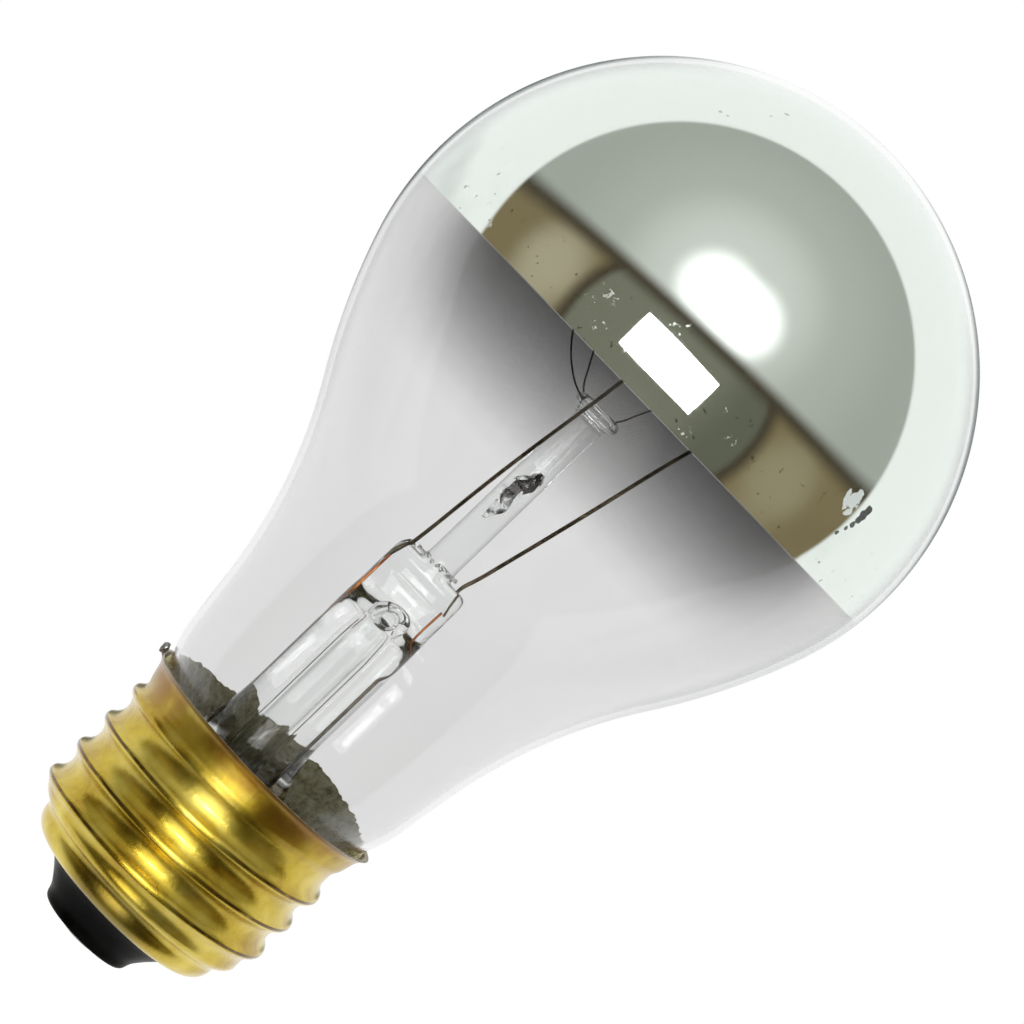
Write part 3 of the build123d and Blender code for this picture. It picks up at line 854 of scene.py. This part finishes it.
def make_rod():
    """Arbor rod, thicker at the press, with its button."""
    foot = press_top_z / mm
    top = button_top_z / mm
    return stem_solid("rod", 64, [
        (3.9, 3.8, foot - 0.6), (3.7, 3.6, foot + 0.1), (3.4, 3.4, foot + 0.9), (3.4, 3.4, top - 1.6),
        (3.9, 3.9, top - 1.35), (5.0, 5.0, top - 1.05), (5.2, 5.2, top - 0.7), (4.9, 4.9, top - 0.2),
        (3.9, 3.9, top - 0.02),
    ])


def make_exhaust():
    """Outside of the exhaust tube, from its closed tip to the press."""
    tip = exhaust_low.z / mm
    width = 2 * exhaust_radius / mm
    top = press_base_z / mm + 0.3
    widths = [(0.4, tip), (1.8, tip + 0.25), (3.2, tip + 0.9), (width, tip + 2.1), (width, top)]
    return stem_solid("exhaust", 48, [(w, w, z) for w, z in widths])


def make_bore():
    """Hollow of the exhaust tube, up to the dome behind the hole."""
    tip = exhaust_low.z / mm
    base = press_base_z / mm
    bore = 2 * (exhaust_radius / mm - exhaust_wall)
    widths = [(0.3, tip + 0.6), (1.6, tip + 0.9), (bore, tip + 2.1), (bore, base + 1.9), (1.6, base + 2.9)]
    return stem_solid("bore", 48, [(w, w, z) for w, z in widths])


def make_lip():
    """Uneven lip of glass round the exhaust hole."""
    turn = bearings(20)
    rings = []
    for a in bearings(48):
        thickness = 0.5 + 0.1 * math.sin(3 * a)
        out = 1.45 + 0.15 * math.sin(2 * a) + thickness * np.cos(turn)
        x = hole_x + out * math.cos(a)
        rings.append(np.column_stack([x, hole_y + thickness * np.sin(turn), hole_z + out * math.sin(a)]))
    return loop_solid("lip", np.array(rings) * mm)


def make_hole():
    """Exhaust hole, from in front of the press to the bore: radius and place in depth."""
    columns = 48
    turn = bearings(columns)
    steps = ((1.0, -6.0), (0.95, hole_y), (0.7, -2.4), (0.75, 0.0))
    rings = [np.column_stack([hole_x + r * np.cos(turn), np.full(columns, y), hole_z + r * np.sin(turn)])
             for r, y in steps]
    return capped_solid("hole", rings)


def make_crease():
    """Level crease in the front of the press: half width, half height and place in depth."""
    x = stem_x / mm
    z = press_top_z / mm - 2.75
    steps = ((2.7, 0.34, -2.6), (2.7, 0.3, -1.9), (2.3, 0.1, -1.35))
    rings = []
    for w, h, y in steps:
        rings.append([(x - w, y, z - h), (x + w, y, z - h), (x + w, y, z + h), (x - w, y, z + h)])
    return capped_solid("crease", np.array(rings))


def make_cuff():
    """Small cuff of glass round the left wire at the top of the press."""
    rings = []
    for share in np.linspace(0, 1, 12):
        swell = math.sin(math.pi * share) ** 0.5
        rings.append(ring(0.3 + 1.1 * swell, 0.3 + 1.5 * swell, 46.6 + 2.2 * share, -5.1 + 0.3 * share, 32))
    return capped_solid("cuff", rings)


def make_stem():
    """Flare tube, press, exhaust tube and arbor rod, fused into one piece of glass."""
    body = make_flare()
    join(body, make_press())
    join(body, make_rod())
    join(body, make_exhaust())
    join(body, make_bore(), "DIFFERENCE")
    join(body, make_lip())
    join(body, make_hole(), "DIFFERENCE")
    join(body, make_crease(), "DIFFERENCE")
    join(body, make_cuff())
    melt = body.modifiers.new("fuse", "REMESH")
    melt.mode = "VOXEL"
    melt.voxel_size = 0.18 * mm
    melt.use_smooth_shade = True
    soften = body.modifiers.new("soften", "SMOOTH")
    soften.factor = 0.5
    soften.iterations = 4
    apply_modifiers(body)
    add_bubble(body)
    body.data.shade_smooth()
    finish_piece(body, "stem_glass", "stem_flare", "arbor_rod", "exhaust_tube")


def add_bubble(made):
    """Long twisted gas bubble inside the rod: a cavity, so its faces look inwards."""
    columns, rows = 40, 60
    net = bmesh.new()
    net.from_mesh(made.data)
    grid = []
    for i in range(rows + 1):
        share = i / rows
        swell = math.sin(math.pi * min(max(share, 0.02), 0.98)) ** 0.5 * (0.62 + 0.3 * share)
        x = stem_x / mm - 0.3 + 0.55 * share + 0.16 * math.sin(8 * share)
        z = bubble_low + bubble_length * share
        line = []
        for a in bearings(columns):
            wave = 1 + 0.35 * noise.noise(Vector((1.4 * math.cos(a), 1.4 * math.sin(a), 5.5 * share)))
            point = Vector((x + swell * wave * math.cos(a), 0.9 * swell * wave * math.sin(a), z))
            line.append(net.verts.new(point * mm))
        grid.append(line)
    for low, high in zip(grid, grid[1:]):
        for j in range(columns):
            k = (j + 1) % columns
            net.faces.new((low[k], low[j], high[j], high[k]))
    net.faces.new(grid[0])
    net.faces.new(grid[-1][::-1])
    net.to_mesh(made.data)
    net.free()


# Wires
def curve_object(name, kind, points, radius, **settings):
    """Round wire along points in millimetres."""
    curve = bpy.data.curves.new(name, "CURVE")
    curve.dimensions = "3D"
    curve.bevel_depth = radius * mm
    for key, value in settings.items():
        setattr(curve, key, value)
    spline = curve.splines.new(kind)
    spline.points.add(len(points) - 1)
    for spot, (x, y, z) in zip(spline.points, points):
        spot.co = (x * mm, y * mm, z * mm, 1)
    return add_object(name, curve)


def wire(name, points, radius, slot, node, slim=0):
    """Smooth wire through control points in millimetres, slimmer at its first points."""
    slim_share = 0.4
    made = curve_object(name, "NURBS", points, radius, bevel_resolution=4, use_fill_caps=True,
                        resolution_u=12)
    spline = made.data.splines[0]
    for spot in spline.points[:slim]:
        spot.radius = slim_share
    spline.order_u = 3
    spline.use_endpoint_u = True
    finish_piece(made, slot, node)


def filament_point(angle, z=filament_height, out=0.0):
    """Point on the filament's arc at a bearing, in millimetres."""
    x, y = (filament_radius + out) * outward(angle)
    return (stem_x / mm + x, y, z)


def make_leads():
    """Upper leads, from the press to the ends of the filament."""
    left_end = filament_point(filament_start_angle)[:2]
    right_end = filament_point(filament_stop_angle)[:2]
    left = [(-5.4, -0.2, 45.7), (-5.05, -0.3, 47.4), (-4.7, -0.6, 48.9), (-3.7, -4.0, 60.2)]
    left += [left_end + (z,) for z in (73.5, 77.0, 79.8)]
    right = [(1.9, 0, 45.8), (1.6, 0, 47.5), (1.35, 0, 48.8), (2.0, 0, 50.6)]
    right += [(4.33, -1.0, 60.7), (6.9, -2.0, 72.9)]
    right += [right_end + (z,) for z in (76.5, 79.8)]
    wire("upper_lead_left", left, lead_radius, "lead_wire", "inner_lead_left")
    wire("upper_lead_right", right, lead_radius, "lead_wire", "inner_lead_right", slim=2)


def make_seal_wires():
    """Copper-sheathed wires in the press."""
    left = [(-5.35, -0.9, 46.3), (-5.45, -1.1, 44.6), (-5.5, -1.5, 42.3), (-5.45, -1.2, 40.3),
            (-5.6, -0.8, 38.6)]
    right = [(1.75, -0.9, 46.0), (1.72, -1.2, 44.5), (1.7, -1.5, 42.6), (1.75, -1.3, 41.6),
             (2.54, -0.6, 41.0), (2.8, -0.2, 40.3), (2.3, 0, 39.5)]
    wire("copper_wire_left", left, left_sheath_radius, "copper_sheath", "seal_wire_left")
    wire("copper_wire_right", right, right_sheath_radius, "copper_sheath", "seal_wire_right")


def make_crumbs():
    """Broken crumbs of glass and scale on the press round the foot of the rod."""
    count = 60
    foot = Vector((stem_x / mm, 0, press_top_z / mm + 0.15))
    points, faces = [], []
    for k in range(count):
        seed = Vector((k * 1.7, k * 0.9, 3.1))
        share = 0.5 + 0.5 * noise.noise(seed)
        angle = math.pi * (1.05 + 0.9 * noise.cell(seed * 3.3))
        reach = 1.85 + 0.55 * noise.cell(seed * 5.1)
        size = 0.06 + 0.16 * abs(noise.cell(seed * 7.7))
        centre = foot + Vector((1.15 * reach * math.cos(angle), 0.75 * reach * math.sin(angle), 0.5 * share))
        net = bmesh.new()
        bmesh.ops.create_icosphere(net, subdivisions=2, radius=size)
        start = len(points)
        for v in net.verts:
            v.co *= 1 + 0.5 * noise.noise(v.co * 9 + seed)
            points.append((centre + v.co) * mm)
        faces += [tuple(start + v.index for v in f.verts) for f in net.faces]
        net.free()
    made = mesh_object("press_crumbs", points, faces)
    made.data.shade_smooth()
    finish_piece(made, "stem_glass")


# Bearings of the supports in degrees, and reach and rise above the button of their points in millimetres
support_routes = {
    "support_wire_left": (203.0, [(1.6, -0.65), (3.4, -0.7), (7.8, 2.7), (9.6, 7.2)]),
    "support_wire_rear": (140.0, [(1.6, -0.65), (3.2, -0.6), (5.4, 2.6), (9.6, 7.6)]),
    "support_wire_right": (55.0, [(1.6, -0.65), (3.2, -0.4), (5.2, 2.5), (9.6, 7.6)]),
}


def make_supports():
    """Fine wires from the button to their rings round the filament."""
    loop = coil_radius + support_radius + 0.03
    for node, (bearing, route) in support_routes.items():
        c, s = outward(bearing)
        line = [(reach, button_top_z / mm + rise) for reach, rise in route]
        for angle in range(-150, 171, 40):
            line.append(np.array([filament_radius, filament_height]) + loop * outward(angle))
        points = [(stem_x / mm + reach * c, reach * s, z) for reach, z in line]
        wire(node.replace("wire", "hook"), points, support_radius, "support_wire", node)


def make_filament():
    """Coiled filament."""
    steps = filament_turns * 12
    swing = coil_radius - filament_wire_radius
    points = []
    for share in np.arange(steps + 1) / steps:
        angle = filament_start_angle + (filament_stop_angle - filament_start_angle) * share
        a = tau * filament_turns * share
        points.append(filament_point(angle, filament_height + swing * math.sin(a), swing * math.cos(a)))
    made = curve_object("filament_coil", "POLY", points, filament_wire_radius, bevel_resolution=1)
    finish_piece(made, "tungsten", "filament")


# Floor, light and camera
def make_floor():
    """Pale round floor that fades out at its rim and shines only where it is seen."""
    radius = 0.16
    glow = 0.47
    columns = 64
    rim = [(radius * math.cos(a), radius * math.sin(a), 0) for a in bearings(columns)]
    floor = mesh_object("floor", rim, [tuple(range(columns))])
    floor.location = (0, 0.14, -0.05)
    paint = Paint("pale_floor").set(Base_Color=grey(0.8), Roughness=1.0, Specular_IOR_Level=0.0)
    ray = paint.node("ShaderNodeLightPath").outputs
    seen = paint.maths("MAXIMUM", ray["Is Camera Ray"], ray["Is Glossy Ray"])
    seen = paint.maths("MAXIMUM", seen, ray["Is Transmission Ray"])
    shine = paint.node("ShaderNodeEmission", {"Strength": paint.times(seen, glow)})
    lit = paint.node("ShaderNodeAddShader", {0: paint.shader.outputs[0], 1: shine.outputs[0]})
    clear = paint.node("ShaderNodeBsdfTransparent")
    fade = paint.between(paint.vectors("LENGTH", paint.place()), 0.55 * radius, 0.97 * radius)
    blend = paint.node("ShaderNodeMixShader", {0: fade, 1: lit.outputs[0], 2: clear.outputs[0]})
    paint.fill(paint.nodes["Material Output"].inputs["Surface"], blend.outputs[0])
    floor.data.materials.append(paint.material)


class Sky(Painter):
    """World shader whose colour depends on direction: a white sheet behind, a grey studio in front."""

    def __init__(self):
        world = bpy.data.worlds.new("studio")
        bpy.context.scene.world = world
        world.use_nodes = True
        super().__init__(world.node_tree)
        self.direction = self.node("ShaderNodeTexCoord").outputs["Generated"]

    def along(self, axis):
        """Share of the direction along an axis."""
        return self.vectors("DOT_PRODUCT", self.direction, axis)

    def spot(self, axis, wide, full=0):
        """Round spot that starts at an angle in degrees from its axis and is full at another."""
        return self.between(self.along(axis), math.cos(math.radians(wide)), math.cos(math.radians(full)))


def direction_to(azimuth, elevation):
    """Unit direction at an azimuth towards +X from the viewer's side, and an elevation."""
    a, e = math.radians(azimuth), math.radians(elevation)
    return (math.sin(a) * math.cos(e), -math.cos(a) * math.cos(e), math.sin(e))


# Axes of the slanting line between wall and ceiling, of the white sheet and of the dark spots on it
wall_top = (0.055, -0.134, -1.0)
sheet_edge = (0, 1, -0.27)
dark_edges = ((-0.24, 0.967, 0.07), (0.19, 0.967, 0.165))


def ceiling_light(sky):
    """Colour of the upper part of the studio, brightest above the viewer."""
    lobes = [sky.spot(direction_to(azimuth, 35), 20) for azimuth in (-9, 7)]
    glow = sky.maths("ADD", *[sky.times(lobe, lobe) for lobe in lobes], clamp=True)
    haze = sky.spot(direction_to(-4, 40), 70, 15)
    halo = sky.spot(direction_to(-6, 38), 42, 8)
    colour = sky.mix(haze, (0.41, 0.42, 0.385), (0.52, 0.52, 0.48))
    return sky.mix(glow, sky.mix(halo, colour, (0.72, 0.72, 0.69)), grey(2.0))


def wall_light(sky):
    """Colour of the studio's wall: a grey panel in the middle, brown at the sides, dark seams."""
    brown = (0.22, 0.165, 0.085)
    left_brown = (0.44, 0.38, 0.27)
    right_brown = (0.32, 0.27, 0.17)
    seam_brown = (0.06, 0.045, 0.028)
    left = sky.spot(direction_to(-58, -1), 22)
    right = sky.spot(direction_to(59, 3), 22)
    side = sky.mix(sky.times(left, left), sky.mix(sky.times(right, right), brown, right_brown), left_brown)
    panel = sky.mix(sky.between(sky.along((1, 0, 0)), 0.2, 0.5), (0.19, 0.185, 0.14), (0.125, 0.125, 0.09))
    forward = sky.along((0, -1, 0))
    wall = sky.mix(sky.between(forward, 0.67, 0.755), side, seam_brown)
    wall = sky.mix(sky.between(forward, 0.74, 0.785), wall, panel)
    return sky.mix(sky.between(sky.along(wall_top), -0.235, -0.13), seam_brown, wall)


def make_world():
    """Studio light; the camera and the glass see plain white where nothing mirrors the studio."""
    ground = (0.08, 0.072, 0.06)
    paper_light = (2.0, 1.9, 1.7)
    edge_grey = (0.14, 0.16, 0.16)
    white = grey(1.0)
    deep_white = 0.85
    sky = Sky()
    path = sky.node("ShaderNodeLightPath").outputs
    outside = sky.between(path["Transmission Depth"], 0.9, 0.1)
    colour = sky.mix(sky.between(sky.along(wall_top), -0.31, -0.215), ceiling_light(sky), wall_light(sky))
    colour = sky.mix(sky.between(sky.along((0, 0, -1)), 0.2, 0.45), colour, ground)
    colour = sky.mix(sky.times(sky.spot(direction_to(0, -27), 23, 5), outside), colour, paper_light)
    colour = sky.mix(sky.between(sky.along(sheet_edge), 0.01, 0.05), colour, white)
    for axis in dark_edges:
        shade = sky.spot(tuple(Vector(axis).normalized()), 12, 3)
        colour = sky.mix(sky.times(shade, outside), colour, edge_grey)
    unreflected = sky.maths("LESS_THAN", path["Glossy Depth"], 0.5)
    deep = sky.times(sky.between(path["Transmission Depth"], 4.4, 5.6), deep_white)
    seen = sky.maths("MAXIMUM", path["Is Camera Ray"], path["Is Transmission Ray"])
    plain = sky.times(seen, sky.maths("ADD", unreflected, deep, clamp=True))
    sky.fill(sky.nodes["Background"].inputs["Color"], sky.mix(plain, colour, white))
    sky.fill(sky.nodes["Background"].inputs["Strength"], 1.0)


def make_lamp(name, width, height, energy, distance):
    """Soft lamp in front, seen as a white rectangle in the mirror and as streaks on the brass."""
    light = bpy.data.lights.new(name, "AREA")
    light.shape = "RECTANGLE"
    light.size = width * distance
    light.size_y = height * distance
    light.energy = energy
    lamp = add_object(name, light)
    lamp.location = (-0.015 * distance, -distance, bulb_centre_z + 0.078 * distance)
    toward = Vector((0, 0, bulb_centre_z)) - lamp.location
    lamp.rotation_euler = toward.to_track_quat("-Z", "Y").to_euler()
    lamp.visible_camera = False


def make_camera():
    """Camera at the photo's place, rolled so that the lamp lies across the picture."""
    data = bpy.data.cameras.new("camera")
    data.sensor_width = sensor_width
    data.lens = focal_pixels / frame_pixels * sensor_width
    data.clip_start = 0.01
    data.clip_end = 50
    camera = add_object("camera", data)
    down = math.radians(camera_down)
    forward = Vector((0, math.cos(down), -math.sin(down)))
    above = Vector((0, math.sin(down), math.cos(down)))
    right = roll_right * Vector((1, 0, 0)) + roll_up * above
    up = -roll_up * Vector((1, 0, 0)) + roll_right * above
    turn = Matrix((right, up, -forward)).transposed()
    camera.matrix_world = Matrix.Translation(Vector(camera_place) * mm) @ turn.to_4x4()
    bpy.context.scene.camera = camera


def set_render():
    """Plain colours, and bounces enough for the layers of glass."""
    scene = bpy.context.scene
    scene.view_settings.view_transform = "Standard"
    scene.cycles.max_bounces = 32
    scene.cycles.transmission_bounces = 32
    scene.cycles.glossy_bounces = 12


repaint_nodes()
make_camera()
make_envelope()
make_mirror()
make_shell()
make_insulator()
make_side_bead()
make_cement()
make_stem()
make_leads()
make_seal_wires()
make_supports()
make_crumbs()
make_filament()
make_floor()
make_world()
make_lamp("window", width=0.63, height=0.27, energy=3.0, distance=0.9)
make_lamp("pane", width=0.16, height=0.10, energy=1.3, distance=0.88)
set_render()
